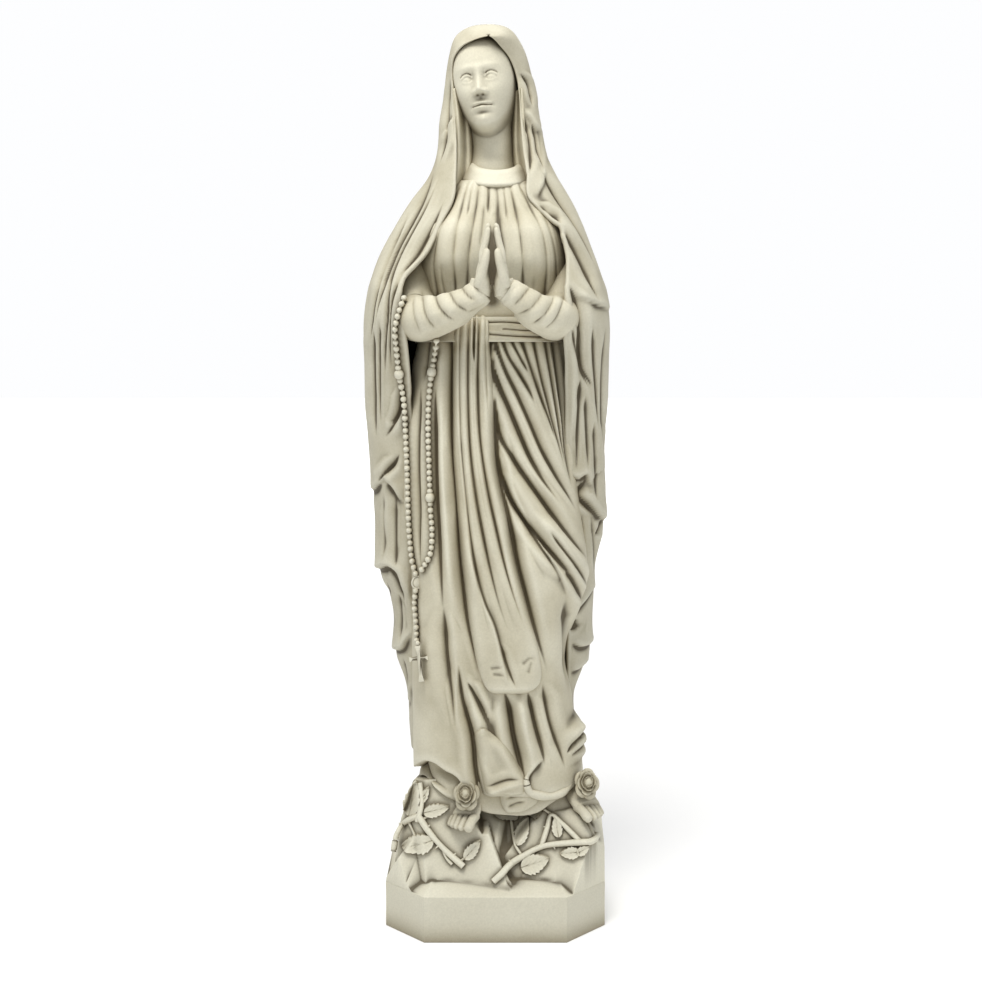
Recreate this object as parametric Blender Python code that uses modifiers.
"""Praying madonna statue on an octagonal plinth: hollow castings pinned together round a steel post.

Lengths are in millimetres and become metres as each mesh is made. +Z is up, the figure faces -Y, and the origin
is the centre of the plinth's underside. Right and left are the figure's own: its right hand is at -X.
"""
import math

import bmesh
import bpy
import numpy as np
from mathutils import Matrix, Vector
from mathutils.bvhtree import BVHTree

# ---------------------------------------------------------------- driving dimensions
PLINTH_WIDTH = 300.0
PLINTH_DEPTH = 260.0
PLINTH_HEIGHT = 62.0
CHAMFER_X = 55.0            # octagon's corner cut along X
CHAMFER_Y = 62.0            # and along Y
PLINTH_WALL = 16.0
LEDGE = 24.0                # ledge that the base board is screwed to
BOARD_THICK = 12.0
GAP = 0.45                  # clearance that touching castings keep
MANTLE_WALL = 7.0
GOWN_WALL = 8.0
WAIST_Z = 812.0             # where the skirt and bodice castings meet
SASH_LOW = 797.0
SASH_HIGH = 828.0
POST_RADIUS = 13.5
POST_TOP = 985.0
BEAD_PITCH = 11.0
BEAD_RADIUS = 4.6

# Gown rows: height, right edge x, left edge x, front y, back y, y of the widest place
GOWN_ROWS = [
    (130, -104, 112, -86, 58, -16),
    (165, -110, 118, -90, 60, -16),
    (200, -113, 122, -93, 62, -16),
    (240, -114, 117, -92, 62, -16),
    (300, -114, 107, -94, 62, -16),
    (400, -114, 109, -99, 62, -16),
    (500, -116, 119, -101, 62, -18),
    (600, -117, 113, -98, 62, -16),
    (700, -117, 106, -93, 60, -16),
    (760, -111, 101, -87, 56, -16),
    (800, -102, 97, -80, 52, -14),
    (830, -97, 95, -75, 50, -12),
    (870, -99, 98, -80, 52, -12),
    (905, -103, 100, -88, 54, -12),
    (940, -101, 97, -85, 54, -12),
    (970, -90, 88, -74, 50, -12),
    (990, -76, 73, -67, 44, -12),
    (1003, -61, 56, -61, 34, -13),
    (1010, -50, 45, -56, 27, -14),
]
GOWN_POWER = 2.5
# Bottom edge of the gown round the body: angle from the front in degrees (to the left is positive), height
HEM_ROWS = [
    (-180, 196), (-120, 200), (-80, 214), (-62, 225), (-48, 230), (-34, 226), (-22, 214), (-10, 192), (0, 187),
    (14, 185), (30, 186), (44, 188), (58, 198), (84, 208), (120, 200), (180, 196),
]
# Mantle rows, from the peak over the brow down to the hem: front edge (y, z), back (y, z), middle x,
# outline half-widths right and left, front edge half-widths right and left, widest place as a share of depth
MANTLE_ROWS = [
    (-66, 1194, -50, 1207, -9, 10, 9, 4, 4, 0.50),
    (-65, 1191, -22, 1220, -10, 32, 25, 22, 12, 0.50),
    (-63, 1185, 14, 1216, -10, 44, 38, 38, 22, 0.48),
    (-61, 1172, 40, 1198, -10, 51, 50, 45, 31, 0.47),
    (-59, 1152, 54, 1168, -10, 56, 58, 46, 38, 0.46),
    (-57, 1125, 58, 1134, -10, 60, 65, 43, 41, 0.46),
    (-55, 1092, 58, 1096, -10, 64, 71, 38, 42, 0.46),
    (-57, 1055, 58, 1055, -8, 69, 76, 38, 43, 0.46),
    (-65, 1020, 62, 1020, -6, 84, 90, 44, 48, 0.48),
    (-75, 985, 70, 985, -6, 108, 110, 58, 56, 0.50),
    (-86, 950, 78, 950, -6, 130, 126, 74, 88, 0.50),
    (-92, 915, 84, 915, -8, 148, 142, 84, 99, 0.50),
    (-92, 888, 87, 888, -9, 157, 154, 110, 102, 0.50),
    (-91, 860, 90, 860, -10, 162, 162, 120, 104, 0.50),
    (-92, 820, 94, 820, -10, 167, 166, 124, 108, 0.50),
    (-90, 770, 96, 770, -10, 168, 166, 122, 106, 0.50),
    (-86, 700, 98, 700, -10, 168, 165, 112, 104, 0.50),
    (-80, 640, 98, 640, -10, 163, 161, 120, 104, 0.50),
    (-70, 560, 98, 560, -8, 159, 161, 118, 108, 0.50),
    (-58, 490, 98, 490, -6, 158, 148, 122, 112, 0.48),
    (-44, 430, 98, 430, -4, 139, 141, 124, 112, 0.46),
    (-30, 370, 98, 370, -2, 138, 135, 122, 112, 0.44),
    (-14, 310, 98, 310, 0, 124, 112, 118, 106, 0.42),
    (-2, 262, 98, 262, 0, 122, 112, 118, 108, 0.40),
    (6, 226, 99, 226, 0, 120, 114, 116, 110, 0.38),
]
MANTLE_POWER = 2.35

# Routes across the front as (x, z); each bead's depth is found on the drapery behind it
OUTER_STRAND = [
    (-121, 846), (-126, 832), (-130, 811), (-130, 785), (-127, 752), (-123, 720), (-120, 680), (-118, 630),
    (-117, 587), (-115, 534), (-111, 500), (-107, 484),
]
INNER_STRAND = [
    (-80, 786), (-83, 768), (-87, 745), (-89, 715), (-90, 680), (-89, 640), (-88, 607), (-86, 574),
    (-84, 541), (-88, 512), (-95, 498),
]
PENDANT_RUN = [(-106, 462), (-108, 440), (-107, 415), (-106, 392)]
SASH_TAIL_ROWS = [  # height, right edge x, left edge x
    (788, -50, -12), (740, -56, -4), (680, -57, 4), (600, -53, 12), (540, -48, 20), (480, -41, 30),
    (420, -33, 42), (375, -25, 57), (346, -17, 60), (333, -8, 50),
]

CAST = ("cast_stone", (0.56, 0.52, 0.40), 0.75, 0.0)
SKIN = ("cast_stone_smooth", (0.62, 0.58, 0.47), 0.65, 0.0)
WOOD = ("board_wood", (0.36, 0.24, 0.13), 0.7, 0.0)
STEEL = ("steel", (0.55, 0.55, 0.56), 0.35, 1.0)

parts = bpy.data.collections.new("praying_madonna")
guides = bpy.data.collections.new("guides")


# ---------------------------------------------------------------- scene and material helpers
def clear_scene():
    for obj in list(bpy.data.objects):
        bpy.data.objects.remove(obj, do_unlink=True)
    bpy.context.scene.collection.children.link(parts)
    bpy.context.scene.collection.children.link(guides)


def material(spec):
    name, colour, roughness, metallic = spec
    if name in bpy.data.materials:
        return bpy.data.materials[name]
    mat = bpy.data.materials.new(name)
    mat.use_nodes = True
    shader = mat.node_tree.nodes["Principled BSDF"]
    shader.inputs["Base Color"].default_value = (*colour, 1.0)
    shader.inputs["Roughness"].default_value = roughness
    shader.inputs["Metallic"].default_value = metallic
    return mat


def mesh_object(name, bm, spec, collection=parts, smooth_angle=50.0):
    """Turn a bmesh in millimetres into a metre-sized object of triangles that point out."""
    bmesh.ops.triangulate(bm, faces=bm.faces)
    bmesh.ops.recalc_face_normals(bm, faces=bm.faces)
    bmesh.ops.scale(bm, vec=(0.001, 0.001, 0.001), verts=bm.verts)
    mesh = bpy.data.meshes.new(name)
    bm.to_mesh(mesh)
    bm.free()
    mesh.shade_smooth()
    mesh.set_sharp_from_angle(angle=math.radians(smooth_angle))
    mesh.materials.append(material(spec))
    obj = bpy.data.objects.new(name, mesh)
    collection.objects.link(obj)
    return obj


def evaluated_mesh(obj):
    bpy.context.view_layer.update()
    graph = bpy.context.evaluated_depsgraph_get()
    return bpy.data.meshes.new_from_object(obj.evaluated_get(graph), depsgraph=graph)


def largest_island(mesh):
    """Keep only the biggest connected piece of a mesh, without its hair-thin faces."""
    bm = bmesh.new()
    bm.from_mesh(mesh)
    bmesh.ops.remove_doubles(bm, verts=bm.verts, dist=2e-6)
    bmesh.ops.triangulate(bm, faces=bm.faces)
    seen, best = set(), []
    for start in bm.verts:
        if start in seen:
            continue
        island, stack = [], [start]
        seen.add(start)
        while stack:
            vert = stack.pop()
            island.append(vert)
            for edge in vert.link_edges:
                other = edge.other_vert(vert)
                if other not in seen:
                    seen.add(other)
                    stack.append(other)
        if len(island) > len(best):
            best = island
    keep = set(best)
    bmesh.ops.delete(bm, geom=[v for v in bm.verts if v not in keep], context="VERTS")
    bm.to_mesh(mesh)
    bm.free()


def grown_copy(obj, gap):
    """A cutter: the object with its surface moved out by gap."""
    bm = bmesh.new()
    bm.from_mesh(obj.data)
    bm.normal_update()
    for vert, shift in [(v, v.normal.copy()) for v in bm.verts]:
        vert.co += shift * gap * 0.001
    mesh = bpy.data.meshes.new("cutter_" + obj.name)
    bm.to_mesh(mesh)
    bm.free()
    cutter = bpy.data.objects.new("cutter_" + obj.name, mesh)
    guides.objects.link(cutter)
    cutter.hide_render = True
    cutter.display_type = "WIRE"
    return cutter


def combine(obj, others, operation, gap=GAP):
    """Cut the others (grown by the gap) out of obj, or join them to it, and keep one body."""
    for other in others:
        tool = grown_copy(other, gap if operation == "DIFFERENCE" else 0.0)
        step = obj.modifiers.new(operation.lower(), "BOOLEAN")
        step.operation = operation
        step.object = tool
        mesh = evaluated_mesh(obj)
        obj.modifiers.clear()
        obj.data = mesh
        bpy.data.objects.remove(tool, do_unlink=True)
    largest_island(obj.data)
    return obj


def cut(obj, *others, gap=GAP):
    return combine(obj, others, "DIFFERENCE", gap)


def hull_of(obj):
    """A convex guide round an object, for cutting a clean seat for it."""
    bm = bmesh.new()
    bm.from_mesh(obj.data)
    made = bmesh.ops.convex_hull(bm, input=bm.verts)
    inside = set(made["geom_interior"]) | set(made["geom_unused"]) | set(made["geom_holes"])
    bmesh.ops.delete(bm, geom=[g for g in inside if isinstance(g, bmesh.types.BMVert)], context="VERTS")
    old = [f for f in bm.faces if f not in set(made["geom"])]
    bmesh.ops.delete(bm, geom=old, context="FACES")
    bmesh.ops.recalc_face_normals(bm, faces=bm.faces)
    mesh = bpy.data.meshes.new("hull_" + obj.name)
    bm.to_mesh(mesh)
    bm.free()
    hull = bpy.data.objects.new("hull_" + obj.name, mesh)
    guides.objects.link(hull)
    hull.hide_render = True
    hull.display_type = "WIRE"
    return hull


def join(obj, *others):
    combine(obj, others, "UNION")
    for other in others:
        bpy.data.objects.remove(other, do_unlink=True)
    return obj


# ---------------------------------------------------------------- curves and lofts
def smooth_table(rows, at):
    """Rows keyed on their first number, read at another place with a smooth curve through them."""
    rows = np.array(rows, float)
    rows = rows[np.argsort(rows[:, 0])]
    keys = rows[:, 0]
    at = np.clip(np.asarray(at, float), keys[0], keys[-1])
    slopes = np.gradient(rows, keys, axis=0)
    i = np.clip(np.searchsorted(keys, at, side="right") - 1, 0, len(keys) - 2)
    span = (keys[i + 1] - keys[i])[..., None]
    t = ((at - keys[i])[..., None]) / span
    a, b = rows[i], rows[i + 1]
    ma, mb = slopes[i] * span, slopes[i + 1] * span
    t2, t3 = t * t, t * t * t
    return a * (2 * t3 - 3 * t2 + 1) + ma * (t3 - 2 * t2 + t) + b * (3 * t2 - 2 * t3) + mb * (t3 - t2)


def smooth_path(points, count):
    """Points spread evenly along a smooth curve through a hand-placed route."""
    points = np.array(points, float)
    length = np.concatenate([[0], np.cumsum(np.linalg.norm(np.diff(points, axis=0), axis=1))])
    fine = smooth_table(np.column_stack([length, points]), np.linspace(0, length[-1], 40 * len(points)))[:, 1:]
    run = np.concatenate([[0], np.cumsum(np.linalg.norm(np.diff(fine, axis=0), axis=1))])
    even = np.linspace(0, run[-1], count)
    return np.column_stack([np.interp(even, run, fine[:, k]) for k in range(points.shape[1])])


def power(value, exponent):
    return np.sign(value) * np.abs(value) ** exponent


def gown_ring(z, angles, inset=0.0):
    """One closed outline of the gown; angle 0 is the front and +90 degrees the figure's left."""
    row = smooth_table(GOWN_ROWS, z)
    _, right, left, front, back, middle_y = [row[..., k] for k in range(6)]
    x_mid, half = (right + left) / 2, (left - right) / 2 - inset
    s, c = power(np.sin(angles), 2 / GOWN_POWER), power(np.cos(angles), 2 / GOWN_POWER)
    depth = np.where(c > 0, middle_y - front - inset, back - middle_y - inset)
    return np.stack([x_mid + half * s, middle_y - depth * c, np.broadcast_to(z, np.shape(s))], axis=-1)


def mantle_section(row, columns, inset=0.0):
    """One open outline of the mantle from its right front edge, round the back, to its left front edge."""
    y_front, z_front, y_back, z_back, x_mid, out_r, out_l, edge_r, edge_l, widest = row
    start, end = np.array([y_front, z_front]), np.array([y_back, z_back])
    depth = np.linalg.norm(end - start)
    along = (end - start) / depth
    centre = depth * widest
    points = []
    for t in np.linspace(-1, 1, columns):
        out, edge = (out_r, edge_r) if t < 0 else (out_l, edge_l)
        out = max(out, edge * 1.02)
        open_angle = math.asin(min(0.999, edge / out) ** (MANTLE_POWER / 2))
        front_depth = centre / max(0.05, math.cos(open_angle) ** (2 / MANTLE_POWER))
        angle = abs(t) * (math.pi - open_angle)
        s = math.sin(angle) ** (2 / MANTLE_POWER) if angle < math.pi else 0.0
        c = float(power(math.cos(angle), 2 / MANTLE_POWER))
        reach = (depth - centre - inset) if c > 0 else (front_depth - inset)
        y, z = start + along * (centre + c * reach)
        points.append((x_mid + math.copysign((out - inset) * s, t), y, z))
    return points


def loft(name, outer, inner, spec, closed, smooth_angle=60.0):
    """A walled solid between two grids of points; closed grids wrap round in their second direction."""
    outer, inner = np.asarray(outer, float), np.asarray(inner, float)
    rows, cols = outer.shape[:2]
    bm = bmesh.new()
    out = [[bm.verts.new(outer[i, j]) for j in range(cols)] for i in range(rows)]
    inn = [[bm.verts.new(inner[i, j]) for j in range(cols)] for i in range(rows)]
    wrap = cols if closed else cols - 1
    for j in range(wrap):
        k = (j + 1) % cols
        for i in range(rows - 1):
            bm.faces.new((out[i][j], out[i][k], out[i + 1][k], out[i + 1][j]))
            bm.faces.new((inn[i][k], inn[i][j], inn[i + 1][j], inn[i + 1][k]))
        bm.faces.new((out[0][k], out[0][j], inn[0][j], inn[0][k]))
        bm.faces.new((out[-1][j], out[-1][k], inn[-1][k], inn[-1][j]))
    if not closed:
        for i in range(rows - 1):
            bm.faces.new((out[i][0], out[i + 1][0], inn[i + 1][0], inn[i][0]))
            bm.faces.new((out[i + 1][-1], out[i][-1], inn[i][-1], inn[i + 1][-1]))
    return mesh_object(name, bm, spec, smooth_angle=smooth_angle)


def capped_loft(name, rings, spec, smooth_angle=60.0):
    """A solid skinned over closed rings, with a point at each end's middle."""
    rings = np.asarray(rings, float)
    bm = bmesh.new()
    grid = [[bm.verts.new(p) for p in ring] for ring in rings]
    cols = len(grid[0])
    for lower, upper in zip(grid, grid[1:]):
        for j in range(cols):
            k = (j + 1) % cols
            bm.faces.new((lower[j], lower[k], upper[k], upper[j]))
    for ring, points in ((grid[0], rings[0]), (grid[-1], rings[-1])):
        tip = bm.verts.new(points.mean(axis=0))
        for j in range(cols):
            bm.faces.new((ring[j], ring[(j + 1) % cols], tip))
    return mesh_object(name, bm, spec, smooth_angle=smooth_angle)


def limb(name, path, radii, spec, sides=12, flat=1.0):
    """A tapering limb: rings square to a path, each with its own radius; flat squeezes them sideways."""
    path = np.asarray(path, float)
    tangent = np.gradient(path, axis=0)
    tangent /= np.linalg.norm(tangent, axis=1)[:, None]
    rings = []
    for point, along, radius in zip(path, tangent, radii):
        side = np.cross(along, (0.0, 0.0, 1.0))
        if np.linalg.norm(side) < 0.2:
            side = np.cross(along, (0.0, 1.0, 0.0))
        side /= np.linalg.norm(side)
        up = np.cross(side, along)
        turn = np.linspace(0, 2 * math.pi, sides, endpoint=False)
        rings.append(point + radius * (np.outer(np.cos(turn), side) * flat + np.outer(np.sin(turn), up)))
    return capped_loft(name, rings, spec)


def turned(name, profile, spec, segments=24, centre=(0.0, 0.0)):
    """A turned solid: the profile's (radius, height) points run from the axis at the top to the bottom."""
    mesh = bpy.data.meshes.new(name)
    verts = [(r * 0.001, 0.0, z * 0.001) for r, z in profile]
    mesh.from_pydata(verts, [(i, i + 1) for i in range(len(verts) - 1)], [])
    obj = bpy.data.objects.new(name, mesh)
    parts.objects.link(obj)
    obj.location = (centre[0] * 0.001, centre[1] * 0.001, 0.0)
    screw = obj.modifiers.new("turn", "SCREW")
    screw.steps = segments
    screw.render_steps = segments
    screw.use_merge_vertices = True
    screw.merge_threshold = 0.0001
    mesh.materials.append(material(spec))
    return obj


def settled(obj):
    """Apply an object's modifiers and place, so that its mesh is in the part's own frame."""
    mesh = evaluated_mesh(obj)
    mesh.transform(obj.matrix_world)
    obj.modifiers.clear()
    obj.data = mesh
    obj.location = (0.0, 0.0, 0.0)
    obj.rotation_euler = (0.0, 0.0, 0.0)
    return obj


# ---------------------------------------------------------------- base: plinth, board, post and rock
def octagon(inset, z):
    a, b = PLINTH_WIDTH / 2 - inset, PLINTH_DEPTH / 2 - inset
    norm = math.hypot(CHAMFER_X, CHAMFER_Y)
    limit = (PLINTH_WIDTH / 2 - CHAMFER_X) * CHAMFER_Y + PLINTH_DEPTH / 2 * CHAMFER_X - inset * norm
    x_front, y_side = (limit - b * CHAMFER_X) / CHAMFER_Y, (limit - a * CHAMFER_Y) / CHAMFER_X
    quarter = [(x_front, -b), (a, -y_side), (a, y_side), (x_front, b)]
    return [(x, y, z) for x, y in quarter + [(-x, y) for x, y in reversed(quarter)]]


def ring_solid(name, loops, spec, smooth_angle=30.0):
    """A ring-shaped solid skinned over loops that follow its cross-section all the way round."""
    bm = bmesh.new()
    grid = [[bm.verts.new(p) for p in loop] for loop in loops]
    cols = len(grid[0])
    for i, loop in enumerate(grid):
        following = grid[(i + 1) % len(grid)]
        for j in range(cols):
            k = (j + 1) % cols
            bm.faces.new((loop[j], loop[k], following[k], following[j]))
    return mesh_object(name, bm, spec, smooth_angle=smooth_angle)


def make_plinth():
    rebate = PLINTH_WALL
    cavity = PLINTH_WALL + LEDGE
    section = [
        (0, 0), (0, PLINTH_HEIGHT), (cavity + 14, PLINTH_HEIGHT), (cavity + 14, PLINTH_HEIGHT - 12),
        (cavity, PLINTH_HEIGHT - 12), (cavity, BOARD_THICK + GAP), (rebate, BOARD_THICK + GAP), (rebate, 0),
    ]
    return ring_solid("plinth", [octagon(inset, z) for inset, z in section], CAST)


def make_base_board():
    inset = PLINTH_WALL + GAP
    return capped_loft("base_board", [octagon(inset, 0.0), octagon(inset, BOARD_THICK)], WOOD, 30)


def make_screws():
    profile = [(0.0, 32), (1.2, 30.5), (2.0, 28), (2.0, 4.3), (4.4, 0.3), (0.0, 0.3)]
    places = [(-60, -102), (60, -102), (60, 102), (-60, 102)]
    return [settled(turned(f"base_screw_{n}", profile, STEEL, 12, xy)) for n, xy in enumerate(places, 1)]


def circle(radius, z, count=20, centre=(0.0, 0.0)):
    turn = np.linspace(0, 2 * math.pi, count, endpoint=False)
    return np.stack([centre[0] + radius * np.cos(turn), centre[1] + radius * np.sin(turn), turn * 0 + z], axis=-1)


def make_post():
    low = BOARD_THICK + GAP
    tube = [(POST_RADIUS, low), (POST_RADIUS, POST_TOP), (POST_RADIUS - 3, POST_TOP), (POST_RADIUS - 3, low)]
    flange = [(44, low), (44, low + 6), (POST_RADIUS + GAP, low + 6), (POST_RADIUS + GAP, low)]
    place = (0.0, -10.0)
    return (ring_solid("support_tube", [circle(r, z, centre=place) for r, z in tube], STEEL),
            ring_solid("tube_flange", [circle(r, z, centre=place) for r, z in flange], STEEL))


# Each rock is a set of planes: a point on it and how its height changes along x and y. The rock's height
# is the lowest of its planes, and the ground is the highest of the rocks.
ROCKS = [
    [(-40, -84, 124, -0.06, 0.9), (-60, -99, 79, 0.12, 2.8), (-134, -60, 88, 1.6, -0.35),
     (12, -96, 90, -1.6, 1.2), (0, -20, 146, 0.0, -1.5)],
    [(-40, -87, 136, 0.0, 0.3), (-40, -89, 132, 0.3, 2.6), (-66, -86, 132, 2.0, 0.4), (-8, -86, 134, -2.2, 0.2),
     (-40, -60, 144, 0.0, -1.5)],
    [(60, -72, 136, 0.42, 0.9), (50, -100, 77, 0.10, 2.2), (143, -40, 98, -2.4, -0.35),
     (2, -94, 80, 1.3, 0.9), (60, -20, 154, 0.1, -1.5)],
    [(88, -66, 164, 0.2, 0.4), (70, -68, 146, 1.6, 0.3), (84, -78, 146, 0.3, 2.2), (116, -66, 158, -1.4, 0.4),
     (80, -20, 176, 0.0, -1.5)],
    [(-118, -20, 196, 0.10, -0.10), (-142, -30, 96, 3.0, -0.5), (-129, -30, 140, 8.0, -0.6),
     (-100, -84, 146, 0.2, 3.2), (-110, -88, 84, 1.8, 2.2), (-52, -60, 188, -1.4, 0.2), (-110, 30, 186, 0.0, -1.4)],
    [(132, -10, 196, 0.10, -0.20), (145, -30, 100, -3.4, -0.5), (137, -30, 140, -8.0, -0.6),
     (126, -72, 158, 0.1, 2.4), (112, -88, 84, -2.2, 2.2), (80, 0, 190, 1.0, 0.2), (130, 30, 186, 0.0, -1.4)],
    [(4, -86, 108, 0, 0.9), (4, -98, 80, 0, 2.4), (-100, -60, 120, 2.5, 0), (100, -60, 120, -2.5, 0), (0, -20, 150, 0, -1.5)],
    [(0, 70, 178, 0.05, -0.30), (0, 118, 84, 0.1, -2.2), (-120, 60, 100, 2.4, 0.0),
     (122, 60, 100, -2.6, 0.0), (0, 10, 180, 0.0, 1.0)],
]


def edge_distance(x, y):
    norm = math.hypot(CHAMFER_X, CHAMFER_Y)
    limit = (PLINTH_WIDTH / 2 - CHAMFER_X) * CHAMFER_Y + PLINTH_DEPTH / 2 * CHAMFER_X
    corner = (limit - abs(x) * CHAMFER_Y - abs(y) * CHAMFER_X) / norm
    return min(PLINTH_WIDTH / 2 - abs(x), PLINTH_DEPTH / 2 - abs(y), corner)


def ground_height(x, y):
    inward = max(0.0, edge_distance(x, y) - 1.0)
    slope = min(PLINTH_HEIGHT + 1.0 + 0.70 * inward, PLINTH_HEIGHT + 14.0 + 0.05 * inward)
    rocks = [min(z + gx * (x - px) + gy * (y - py) for px, py, z, gx, gy in rock) for rock in ROCKS]
    return max(slope, *rocks)


def make_mound():
    columns, shares = 44, [1.0, 0.93, 0.86, 0.79, 0.73, 0.67, 0.58, 0.42, 0.26]
    top, under = [], []
    for share in shares:
        top_ring, under_ring = [], []
        for n in range(columns):
            turn = 2 * math.pi * n / columns
            dx, dy = math.sin(turn), -math.cos(turn)
            reach = 1.0 / max(abs(dx) / (PLINTH_WIDTH / 2), abs(dy) / (PLINTH_DEPTH / 2))
            while edge_distance(dx * reach, dy * reach) < 1.5:
                reach -= 0.5
            x, y = dx * reach * share, dy * reach * share
            z = ground_height(x, y)
            top_ring.append((x, y, z))
            under_ring.append((x, y, max(PLINTH_HEIGHT + GAP, z - 16.0) if share < 0.88 else PLINTH_HEIGHT + GAP))
        top.append(top_ring)
        under.append(under_ring)
    return loft("rock_mound", top, under, CAST, True, 35)


# ---------------------------------------------------------------- drapery
RING_ANGLES = np.linspace(0, 2 * math.pi, 32, endpoint=False)


def hem_height(angles):
    degrees = (np.degrees(angles) + 180.0) % 360.0 - 180.0
    return smooth_table(HEM_ROWS, degrees)[:, 1]


def gown_grid(heights, inset=0.0):
    """Rings of the gown; a height is one number, or one for each angle."""
    return np.array([gown_ring(z + 0 * RING_ANGLES, RING_ANGLES, inset) for z in heights])


def make_gown():
    hem = hem_height(RING_ANGLES)
    heights = [hem + (SASH_LOW - hem) * share for share in np.linspace(0, 1, 9)] + [WAIST_Z - 0.3]
    skirt = loft("gown_skirt", gown_grid(heights), gown_grid(heights, GOWN_WALL), CAST, True)
    heights = [WAIST_Z + 0.3, SASH_HIGH, 858, 888, 918, 946, 970, 990, 1003, GOWN_ROWS[-1][0]]
    bodice = loft("gown_bodice", gown_grid(heights), gown_grid(heights, GOWN_WALL), CAST, True)
    return skirt, bodice


def make_hem_plug():
    """The gown's foot as a filled solid, which the rock is cut by."""
    hem = hem_height(RING_ANGLES) - 0.6
    heights = [hem + (SASH_LOW - hem) * share for share in (0, 0.125, 0.25)]
    return capped_loft("hem_plug", gown_grid(heights, inset=-1.0), CAST)


def make_waist_sash():
    heights = (SASH_LOW, WAIST_Z, SASH_HIGH)
    return loft("waist_sash", gown_grid(heights, inset=-4.5), gown_grid(heights, inset=-0.8), CAST, True)


def make_mantle():
    columns = 27
    shares = np.linspace(0, len(MANTLE_ROWS) - 1, 28)
    keyed = [(i, *row) for i, row in enumerate(MANTLE_ROWS)]
    rows = smooth_table(keyed, shares)[:, 1:]
    outer = [mantle_section(row, columns) for row in rows]
    inner = [mantle_section(row, columns, MANTLE_WALL) for row in rows]
    return loft("mantle", outer, inner, CAST, False)


def front_depth(objects):
    """A function that gives the frontmost y of the objects at (x, z), or None where they are open."""
    trees = []
    for obj in objects:
        bm = bmesh.new()
        bm.from_mesh(obj.data)
        trees.append(BVHTree.FromBMesh(bm))
        bm.free()

    def depth(x, z):
        start = Vector((x * 0.001, -1.0, z * 0.001))
        hits = [tree.ray_cast(start, Vector((0, 1, 0)))[0] for tree in trees]
        found = [hit.y * 1000 for hit in hits if hit is not None]
        return min(found) if found else None
    return depth


def make_sash_tail(depth):
    columns, rows = 7, 14
    heights = np.linspace(SASH_TAIL_ROWS[0][0], SASH_TAIL_ROWS[-1][0], rows)
    outer, inner = [], []
    for z, right, left in smooth_table(SASH_TAIL_ROWS, heights):
        xs = np.linspace(right, left, columns)
        ys = [depth(x, z) for x in xs]
        crown = 1.0 - 0.5 * np.abs(np.linspace(-1, 1, columns)) ** 3
        outer.append([(x, y - 1.2 - 6.0 * c, z) for x, y, c in zip(xs, ys, crown)])
        inner.append([(x, y - 0.9, z) for x, y in zip(xs, ys)])
    return loft("sash_tail", outer, inner, CAST, False)


def make_collar():
    rings = []
    for grow, lift in ((-3, -2), (0, 3), (5, 0.5), (12.5, -15), (12.5, -23), (1, -12)):
        ring = []
        for turn in np.linspace(0, 2 * math.pi, 24, endpoint=False):
            x = 1 + (30 + 1.35 * grow) * math.sin(turn)
            y = -14 - (33 + 1.45 * grow) * math.cos(turn)
            ring.append((x, y, 1037 + 0.95 * lift - 16 * math.cos(turn)))
        rings.append(ring)
    return ring_solid("collar_band", rings, CAST, 50)


# ---------------------------------------------------------------- head, arms, hands and feet
HEAD_ROWS = [  # height above the chin, half-width, front y, back y, squareness
    (-78, 42, -38, 27, 2.0), (-62, 38, -35, 26, 2.0), (-48, 32.5, -31, 26, 2.0), (-34, 29, -27, 28, 2.0),
    (-24, 28, -29, 31, 1.95), (-14, 28, -44, 34, 1.8), (-5, 28.5, -56, 37, 1.65), (6, 30, -58.5, 39, 1.6),
    (14, 33, -59.5, 41, 1.65), (26, 37.5, -60, 43, 1.8), (40, 41.5, -61, 45, 2.0),
    (58, 44.5, -61, 45, 2.2), (74, 45, -62, 43, 2.2), (90, 44, -61, 40, 2.2), (102, 41, -58, 36, 2.15),
    (112, 36, -52, 31, 2.1), (120, 27, -41, 23, 2.05), (125, 15, -24, 13, 2.0), (127, 4, -6, 4, 2.0),
]
FACE_SWELLS = [  # sideways offset, height, width, half-height, how far forward
    (0, 43.5, 6.5, 8, 9), (0, 57, 5.5, 12, 5), (17, 62, 10, 7, -3.5), (0, 27, 10, 3.5, 2.4), (0, 7, 11, 7, 3.6),
    (16, 75, 13, 5, 2.0),
]
HEAD_PLACE = (-5.0, -4.0, 1081.0)    # the chin's middle, before the head is tilted on its neck
HEAD_TILT = (7.0, -9.0, -1.0)        # roll to its right, turn to its right and pitch, in degrees
NECK_PIVOT = (0.0, -5.0, -14.0)


def ease(t):
    t = min(1.0, max(0.0, t))
    return t * t * (3 - 2 * t)


def tilted(point):
    """A point of the head after the roll, turn and pitch, which fade out down the neck."""
    roll, yaw, pitch = [math.radians(a) for a in HEAD_TILT]
    turn = Matrix.Rotation(-roll, 3, "Y") @ Matrix.Rotation(yaw, 3, "Z") @ Matrix.Rotation(pitch, 3, "X")
    share = ease((point[2] + 50.0) / 45.0)
    pivot, start = Vector(NECK_PIVOT), Vector(point)
    moved = turn @ (start - pivot) + pivot
    return tuple(start + (moved - start) * share + Vector(HEAD_PLACE))


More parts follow.
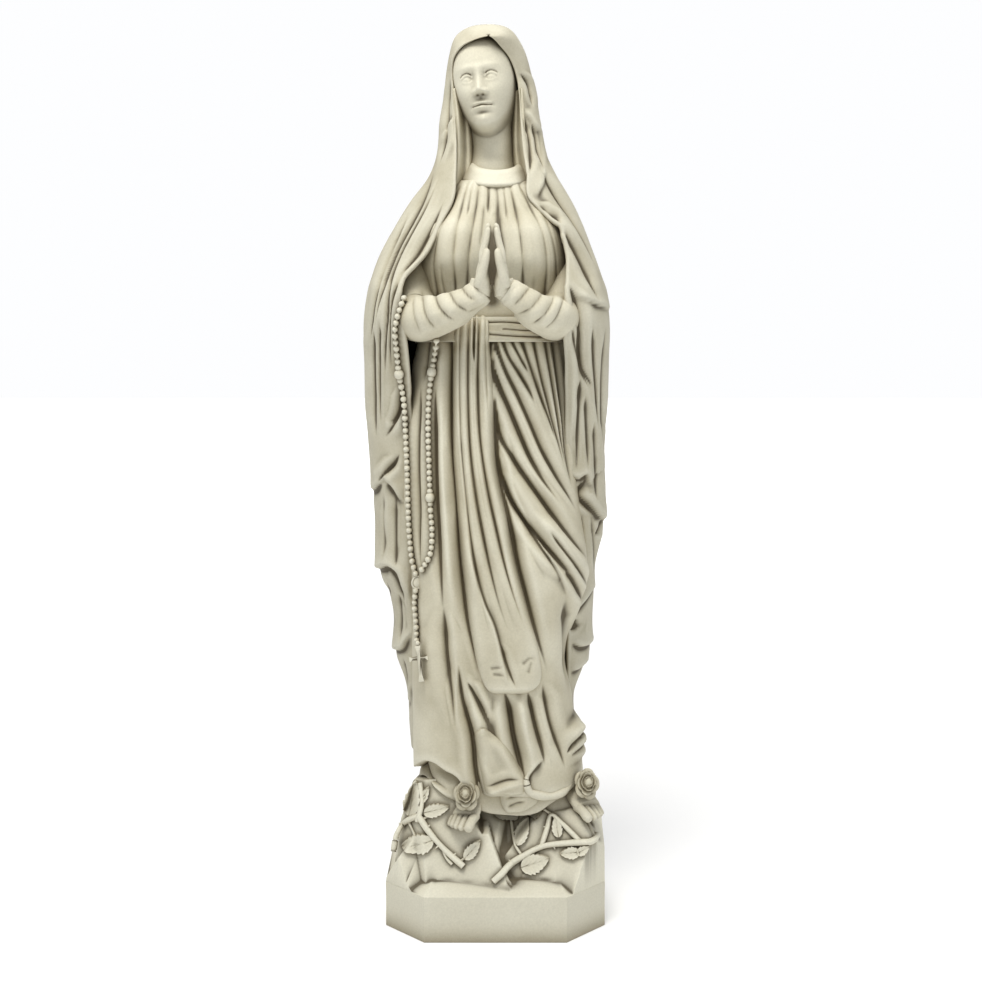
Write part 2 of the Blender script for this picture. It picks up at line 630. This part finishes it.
def make_head():
    columns = 26
    rings = []
    for z in [-78, -62, -48, -36, -26, -18, -11, -5, 0, 5, 11, 17, 23, 28, 34, 40, 45, 52, 60, 68, 76, 88, 100, 110,
              118, 123, 126.5]:
        _, half, front, back, square = smooth_table(HEAD_ROWS, z)
        ring = []
        for turn in np.linspace(0, 2 * math.pi, columns, endpoint=False):
            s, c = math.sin(turn), math.cos(turn)
            x = half * float(power(s, 2 / square))
            y = (front if c > 0 else -back) * float(power(c, 2 / square))
            if c > 0:
                under = ease((1.0 + 24.0 * (x / 32.0) ** 2 - z) / 13.0) * ease((z + 60) / 40)
                y += under * (-27.0 * math.sqrt(max(0.0, 1 - (x / half) ** 2)) - y)
                for sideways, height, width, tall, rise in FACE_SWELLS:
                    for side in ((-1, 1) if sideways else (1,)):
                        y -= c ** 0.6 * rise * math.exp(-((x - side * sideways) / width) ** 2
                                                        - ((z - height) / tall) ** 2)
            ring.append(tilted((x, y, z)))
        rings.append(ring)
    return capped_loft("head", rings, SKIN)


ARM_ROUTE = {  # from the cuff to the shoulder, for the right and left arm
    "right": [(-17, -139, 858), (-27, -138, 852), (-41, -133, 843), (-62, -122, 832), (-90, -100, 826),
              (-112, -68, 832), (-115, -44, 862), (-106, -22, 905), (-92, -8, 945)],
    "left": [(14, -139, 860), (24, -138, 854), (36, -133, 846), (50, -123, 834), (71, -102, 827), (87, -66, 834),
             (97, -44, 862), (92, -22, 905), (82, -8, 945)],
}
ARM_RADII = [(0, 16), (0.05, 18), (0.14, 21), (0.3, 27), (0.5, 31), (0.65, 33), (0.85, 31), (1.0, 24)]


def make_sleeve(side):
    count = 15
    path = smooth_path(ARM_ROUTE[side], count)
    radii = smooth_table(ARM_RADII, np.linspace(0, 1, count))[:, 1]
    return limb(side + "_sleeve", path, radii, CAST, sides=14)


def make_hand(side):
    """A flat hand pointing up: heel, palm and fingers, with grooves between the fingers."""
    sign = -1 if side == "right" else 1
    middle_x = -3.0
    rows = [  # height, inner x, outer x, half-width in y, middle y, finger groove
        (848, 2.0, 15, 13, -143, 0), (858, 1.2, 20, 17, -143, 0), (872, 0.6, 23, 21, -143, 0),
        (886, 0.6, 21, 22, -143.5, 0), (898, 0.8, 17, 21, -144.5, 0.5), (910, 1.0, 14.5, 20, -145.5, 1.2),
        (922, 1.0, 12.5, 18, -146.5, 1.5), (932, 0.8, 10.5, 15.5, -147, 1.5), (940, 0.5, 8, 12, -147.5, 1.0),
        (945, 0.5, 4.5, 7, -148, 0.2),
    ]
    rings = []
    for z, x_in, x_out, half, y_mid, groove in rows:
        ring = []
        for turn in np.linspace(0, 2 * math.pi, 16, endpoint=False):
            s, c = math.sin(turn), math.cos(turn)
            y = y_mid + half * float(power(c, 0.8))
            thick = (x_out - x_in) / 2
            x = (x_in + x_out) / 2 + (thick - groove * abs(math.sin(2 * turn))) * float(power(s, 0.8))
            ring.append((middle_x + sign * x, y, z))
        rings.append(ring)
    return capped_loft(side + "_hand", rings, SKIN)


def make_pin(name, start, end, radius):
    return limb(name, [start, (np.array(start) + np.array(end)) / 2, end], [radius] * 3, STEEL, sides=12)


FEET = {  # ankle end, ball of the foot, sole height there, and which side its big toe is on
    "right": ((-30, -58, 189), (-41, -85, 162), 1),
    "left": ((104, -38, 184), (124, -67, 170), -1),
}


def make_foot(side):
    ankle, ball, toward = FEET[side]
    ankle, ball = np.array(ankle, float), np.array(ball, float)
    forward = ball - ankle
    forward[2] = 0
    forward /= np.linalg.norm(forward)
    across = np.array([-forward[1], forward[0], 0.0]) * toward
    up = np.array([0, 0, 1.0])
    rings = []
    for share, half, tall, drop in ((-0.2, 15, 24, 6), (0.3, 18, 18, 3), (0.8, 21, 12, 0), (1.12, 20.5, 9, -2)):
        middle = ankle + (ball - ankle) * share + up * drop
        turn = np.linspace(0, 2 * math.pi, 18, endpoint=False)
        rings.append(middle + np.outer(np.cos(turn), across) * half + np.outer(np.sin(turn), up) * tall)
    foot = capped_loft(side + "_foot", rings, SKIN)
    toes = []
    for n, (offset, length, radius) in enumerate(((13.8, 23, 6.6), (3.6, 23, 4.9), (-4.4, 20, 4.6),
                                                  (-11.4, 16, 4.4), (-17.4, 11, 4.1))):
        root = ball + across * offset - up * 2 - forward * 6
        tip = ball + across * (offset * 1.04) + forward * length - up * (15 - radius * 0.4)
        mid = (root + tip) / 2 + up * 2.0
        route = [root, mid, tip, tip + forward * radius * 0.55 - up * 1.0]
        toes.append(limb(f"toe_{n}", route, [radius, radius * 1.02, radius * 0.95, radius * 0.5], SKIN, sides=8))
    return join(foot, *toes)


def make_rose(name, centre, facing, radius):
    """A many-petalled bloom: rings that step in and out round the flower's axis."""
    facing = Vector(facing).normalized()
    turn_to = Vector((0, 0, 1)).rotation_difference(facing)
    levels = [(0.30, -0.62, 0), (0.70, -0.50, 1), (1.0, -0.10, 1), (0.98, 0.12, 1), (0.78, 0.06, 2), (0.76, 0.34, 2),
              (0.54, 0.24, 3), (0.50, 0.50, 3), (0.30, 0.40, 4), (0.22, 0.58, 4)]
    rings = []
    for reach, height, layer in levels:
        ring = []
        for turn in np.linspace(0, 2 * math.pi, 15, endpoint=False):
            wave = 1 + 0.09 * math.cos(5 * turn + 1.3 * layer)
            point = Vector((reach * wave * math.cos(turn), reach * wave * math.sin(turn), height)) * radius
            ring.append(Vector(centre) + turn_to @ point)
        rings.append(ring)
    return capped_loft(name, [[tuple(p) for p in ring] for ring in rings], CAST, 30)


# ---------------------------------------------------------------- briars and rosary
BRIARS = {  # stems as (x, z) routes over the rock's front, and leaves as (x, z, direction in degrees, length)
    "right": ([[(-104, 158), (-91, 140), (-71, 119), (-43, 96)], [(-104, 158), (-120, 147), (-127, 132)]],
              [(-110, 176, 78, 36), (-80, 164, 14, 32), (-104, 122, 200, 36), (-40, 112, 48, 26)]),
    "left": ([[(-3, 84), (13, 92), (36, 105), (62, 118), (98, 124), (128, 127)],
              [(62, 118), (70, 140), (76, 155), (90, 146), (106, 130)]],
             [(37, 132, 60, 30), (54, 98, 20, 34), (100, 110, 185, 24), (56, 158, 30, 24)]),
}


def make_briar(side, rock):
    """A rose stem with side shoots and leaves, lying on the front of the rock."""
    stems, leaves = BRIARS[side]

    def on_rock(points, lift):
        hits = [rock.ray_cast(Vector((x * 0.001, -1.0, z * 0.001)), Vector((0, 1, 0)))[0] for x, z in points]
        placed = np.array([(x, hit.y * 1000 - lift, z) for (x, z), hit in zip(points, hits)])
        for _ in range(4):
            placed[1:-1, 1] = np.minimum(placed[1:-1, 1], (placed[:-2, 1] + placed[2:, 1]) / 2)
        return placed

    pieces = []
    for n, route in enumerate(stems):
        path = on_rock(smooth_path(route, 14), 2.6)
        pieces.append(limb(f"{side}_briar" if n == 0 else f"stem_{n}", path, [3.8] * len(path), CAST, sides=6))
    for n, (x, z, heading, length) in enumerate(leaves):
        run = np.array([math.cos(math.radians(heading)), math.sin(math.radians(heading))])
        ends = on_rock([(x, z) - run * length * 0.3, (x, z) + run * length * 0.3], 0.5)
        along = ends[1] - ends[0]
        along /= np.linalg.norm(along)
        across = np.cross(along, (0.0, -1.0, 0.0))
        across /= np.linalg.norm(across)
        normal = np.cross(across, along)
        normal *= -math.copysign(1, normal[1])
        rings = []
        for share, wide in ((-0.45, 0.10), (-0.25, 0.75), (0.05, 1.0), (0.35, 0.7), (0.6, 0.08)):
            turn = np.linspace(0, 2 * math.pi, 8, endpoint=False)
            middle = ends.mean(axis=0) + along * length * share + normal * 1.8
            rings.append(middle + np.outer(np.cos(turn), across) * wide * length * 0.26
                         + np.outer(np.sin(turn), normal) * 2.4)
        pieces.append(capped_loft(f"leaf_{n}", rings, CAST))
        stalk_end = min((p for piece in stems for p in piece), key=lambda p: math.dist(p, (x, z)))
        stalk = on_rock(smooth_path([stalk_end, (x, z)], 6), 2.0)
        pieces.append(limb(f"stalk_{n}", stalk, [2.6] * len(stalk), CAST, sides=5))
    return join(pieces[0], *pieces[1:])


def drape_route(route, depth, clear):
    """Give a route over the front its depth: in front of everything within reach of each point."""
    placed = []
    for x, z in route:
        around = [depth(x + dx, z + dz) for dx in (-clear, 0, clear) for dz in (-clear, 0, clear)]
        placed.append((x, min(y for y in around if y is not None) - clear, z))
    placed = np.array(placed)
    for _ in range(3):
        middle = (placed[:-2, 1] + placed[2:, 1]) / 2
        placed[1:-1, 1] = np.minimum(placed[1:-1, 1], middle)
    return placed


def make_strand(name, route, depth, spec=CAST):
    """A run of beads cast as one string: a tube whose radius swells at each bead."""
    path = np.array(route, float)
    length = np.linalg.norm(np.diff(path, axis=0), axis=1).sum()
    beads = max(2, round(length / BEAD_PITCH))
    points = smooth_path(route, 2 * beads + 1)
    placed = drape_route(points, depth, BEAD_RADIUS + 1.2)
    radii = [2.2 if n % 2 == 0 else BEAD_RADIUS for n in range(len(placed))]
    curve = bpy.data.curves.new(name, "CURVE")
    curve.dimensions = "3D"
    curve.bevel_depth = 0.001
    curve.bevel_resolution = 1
    curve.use_fill_caps = True
    spline = curve.splines.new("POLY")
    spline.points.add(len(placed) - 1)
    for point, (x, y, z), radius in zip(spline.points, placed, radii):
        point.co = (x * 0.001, y * 0.001, z * 0.001, 1.0)
        point.radius = radius
    curve.materials.append(material(spec))
    obj = bpy.data.objects.new(name, curve)
    parts.objects.link(obj)
    return obj


def make_centrepiece(depth):
    place = drape_route([(-105, 474)], depth, 5.5)[0]
    rings = []
    for share, reach in ((-1, 3.0), (-0.6, 7.0), (0.6, 7.0), (1, 3.0)):
        turn = np.linspace(0, 2 * math.pi, 16, endpoint=False)
        rings.append([(place[0] + reach * math.sin(t), place[1] + 3.2 * share, place[2] + reach * 1.15 * math.cos(t))
                      for t in turn])
    return capped_loft("rosary_centrepiece", rings, CAST)


def make_crucifix(depth):
    place = drape_route([(-104, 376), (-101, 350), (-112, 368), (-93, 368)], depth, 4.0)
    y = place[:, 1].min()
    outline = [(-3, 24), (3, 24), (3, 12), (10, 12), (10, 6), (3, 6), (3, -14), (-3, -14), (-3, 6), (-10, 6),
               (-10, 12), (-3, 12)]
    curve = bpy.data.curves.new("rosary_crucifix", "CURVE")
    curve.dimensions = "2D"
    curve.fill_mode = "BOTH"
    curve.extrude = 0.0024
    spline = curve.splines.new("POLY")
    spline.points.add(len(outline) - 1)
    for point, (x, z) in zip(spline.points, outline):
        point.co = (x * 0.001, z * 0.001, 0.0, 1.0)
    spline.use_cyclic_u = True
    obj = bpy.data.objects.new("rosary_crucifix", curve)
    obj.location = (-0.1025, y * 0.001, 0.362)
    obj.rotation_euler = (math.radians(90), 0.0, 0.0)
    curve.materials.append(material(CAST))
    parts.objects.link(obj)
    return obj


# ---------------------------------------------------------------- assembly
def tree_of(obj):
    bm = bmesh.new()
    bm.from_mesh(obj.data)
    tree = BVHTree.FromBMesh(bm)
    bm.free()
    return tree


def main():
    clear_scene()
    plinth, board, screws = make_plinth(), make_base_board(), make_screws()
    make_post()
    cut(plinth, *screws)
    cut(board, *screws)

    hands = {side: make_hand(side) for side in ("right", "left")}
    sleeves = {side: make_sleeve(side) for side in ("right", "left")}
    feet = {side: make_foot(side) for side in ("right", "left")}
    roses = {"right": make_rose("right_rose", (-40, -98, 193), (-0.15, -0.9, 0.4), 18),
             "left": make_rose("left_rose", (125, -80, 203), (0.15, -0.9, 0.4), 17.5)}
    for side, sign in (("right", -1), ("left", 1)):
        pin = make_pin(side + "_wrist_dowel", (-3 + sign * 12, -143, 874), (-3 + sign * 28, -136, 842), 3.0)
        cut(sleeves[side], hands[side])
        cut(hands[side], pin)
        cut(sleeves[side], pin)
        cut(feet[side], roses[side])

    head = make_head()
    neck_pin = limb("neck_dowel", [(0, -10, 940), (0, -10, 990), (0, -10, 1042)], [9.8] * 3, STEEL, sides=16)
    cut(head, neck_pin)
    collar, sash = make_collar(), make_waist_sash()
    cut(collar, head)
    skirt, bodice = make_gown()
    cut(sash, *sleeves.values())
    cut(skirt, *feet.values(), *roses.values(), *sleeves.values())
    cut(bodice, collar, head, *sleeves.values(), *hands.values())

    mantle = make_mantle()
    cut(mantle, skirt, bodice, collar, head, *sleeves.values(), sash)

    mound, plug = make_mound(), make_hem_plug()
    seats = [hull_of(obj) for obj in (*feet.values(), *roses.values())]
    rock_tree = tree_of(mound)
    for side in ("right", "left"):
        cut(make_briar(side, rock_tree), mound, plug, *seats)
    cut(mound, plug, mantle, *seats)
    for guide in (plug, *seats):
        bpy.data.objects.remove(guide, do_unlink=True)

    tail = make_sash_tail(front_depth([skirt]))
    cut(tail, *sleeves.values(), sash, *hands.values())
    front = front_depth([skirt, bodice, mantle, tail, *sleeves.values()])
    make_strand("rosary_outer_strand", OUTER_STRAND, front)
    make_strand("rosary_inner_strand", INNER_STRAND, front)
    make_strand("rosary_pendant", PENDANT_RUN, front)
    make_centrepiece(front)
    make_crucifix(front)


main()
